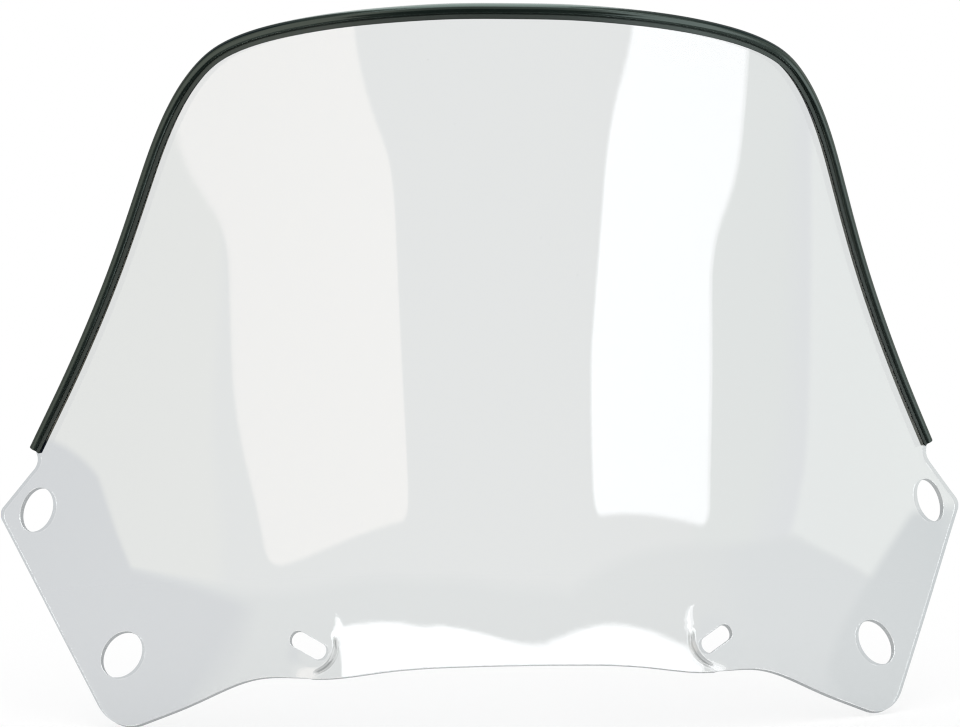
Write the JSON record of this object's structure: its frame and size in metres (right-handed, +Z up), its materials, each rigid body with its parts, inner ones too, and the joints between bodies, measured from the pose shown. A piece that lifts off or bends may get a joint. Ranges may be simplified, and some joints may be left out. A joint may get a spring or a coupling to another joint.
{
  "type": "vehicle windshield screen",
  "caption": "Clear curved windshield screen with side wings holding round mounting holes, slanted slots in its low edge and a rounded black edge moulding along its top and upper sides.",
  "frame": {"origin": "under the middle of the part's bounding box, at the height of the lowest point of the wings", "axes": "+Z up as the screen stands in use, -Y toward the oncoming air (the convex outer face), +X toward the wing that is on the right when the outer face is looked at; the part is mirrored about X = 0"},
  "size_m": [0.5582, 0.1676, 0.3727],
  "materials": {
    "clear_sheet": "polished clear polycarbonate, very faint cool tint",
    "black_trim": "glossy black flexible PVC",
    "adhesive": "cured black sealant"
  },
  "bodies": {
    "root": {"windshield_screen": "clear_sheet", "edge_trim": "black_trim", "trim_adhesive": "adhesive"}
  },
  "joints": []
}
